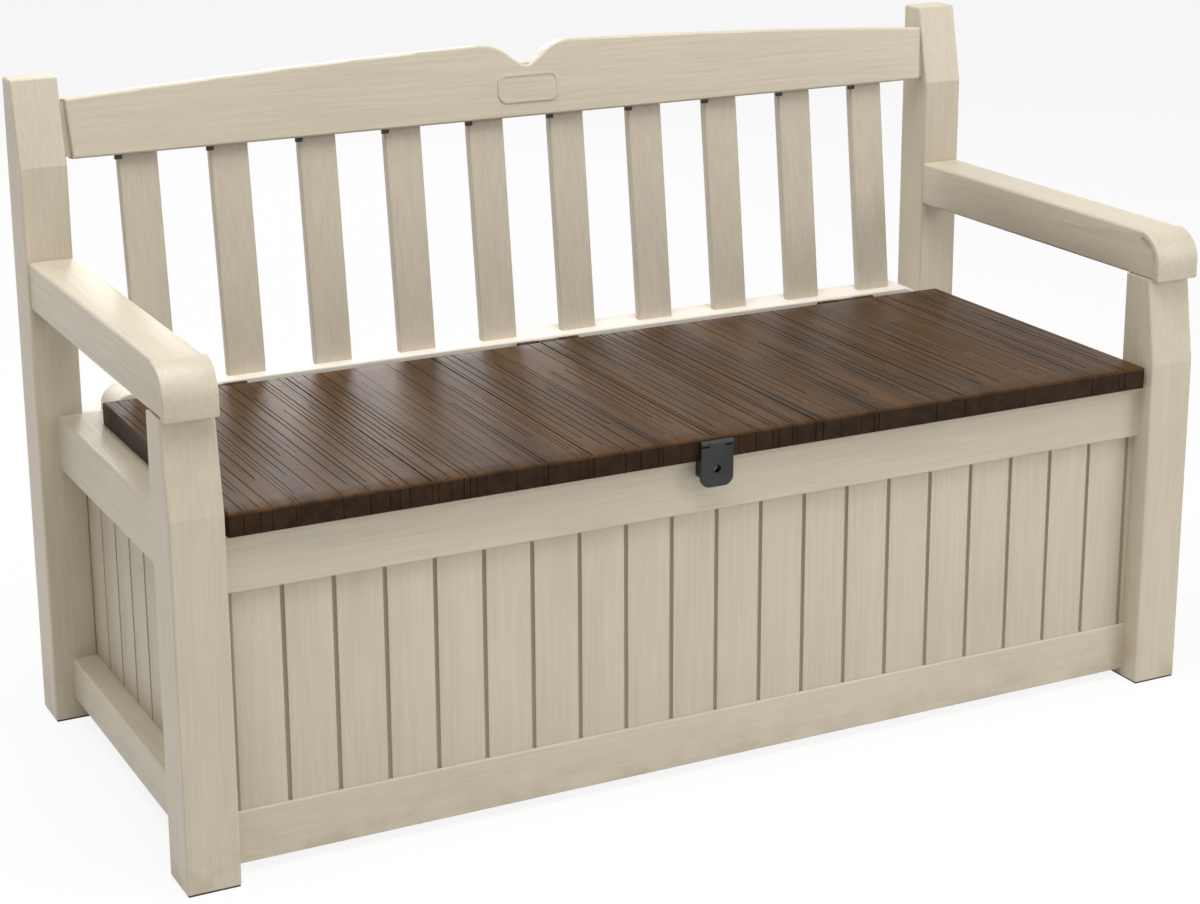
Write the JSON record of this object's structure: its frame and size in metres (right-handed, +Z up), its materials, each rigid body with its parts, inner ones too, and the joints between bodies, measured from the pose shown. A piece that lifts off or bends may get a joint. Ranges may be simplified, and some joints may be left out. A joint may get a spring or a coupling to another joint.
{
  "type": "storage bench",
  "caption": "Three-seat resin garden bench with a hinged storage lid, slatted backrest, armrests and a front hasp.",
  "frame": {"origin": "on the floor, under the middle of the bench", "axes": "+X along the width, +Y from the front to the back, +Z up"},
  "size_m": [1.4, 0.611, 0.848],
  "materials": {
    "beige_resin": "warm beige moulded resin with a faint wood grain",
    "brown_resin": "dark brown moulded resin with a deep wood grain",
    "black_resin": "black moulded nylon, slightly glossy",
    "dark_glide": "dark grey polyethylene",
    "zinc_steel": "zinc-plated steel"
  },
  "bodies": {
    "root": {"left_front_leg": "beige_resin", "right_front_leg": "beige_resin", "left_rear_post": "beige_resin", "right_rear_post": "beige_resin", "left_armrest": "beige_resin", "right_armrest": "beige_resin", "left_upper_side_rail": "beige_resin", "right_upper_side_rail": "beige_resin", "left_lower_side_rail": "beige_resin", "right_lower_side_rail": "beige_resin", "left_side_panel": "beige_resin", "right_side_panel": "beige_resin", "front_top_rail": "beige_resin", "front_lower_rail": "beige_resin", "front_panel": "beige_resin", "back_panel": "beige_resin", "back_lower_rail": "beige_resin", "floor_panel": "beige_resin", "backrest_ledge": "beige_resin", "backrest_top_rail": "beige_resin", "badge_plate": "beige_resin", "slat_01": "beige_resin", "slat_02": "beige_resin", "slat_03": "beige_resin", "slat_04": "beige_resin", "slat_05": "beige_resin", "slat_06": "beige_resin", "slat_07": "beige_resin", "slat_08": "beige_resin", "slat_09": "beige_resin", "slat_10": "beige_resin", "hasp_keeper": "black_resin", "foot_caps": "dark_glide", "slat_stops": "dark_glide", "post_bolts": "zinc_steel", "hinge_pins": "zinc_steel"},
    "lid": {"seat_lid": "brown_resin", "lid_underside": "brown_resin", "lid_screws": "zinc_steel", "hasp_base": "black_resin", "hasp_pin": "zinc_steel"},
    "hasp": {"hasp_flap": "black_resin"}
  },
  "joints": [
    {"name": "lid_hinge", "type": "hinge", "parent": "root", "child": "lid", "pos_m": [0, 0.197, 0.4395], "axis": [-1, 0, 0], "range_deg": [0, 97]},
    {"name": "hasp_hinge", "type": "hinge", "parent": "lid", "child": "hasp", "pos_m": [-0.017, -0.3015, 0.4385], "axis": [-1, 0, 0], "range_deg": [0, 170]}
  ]
}
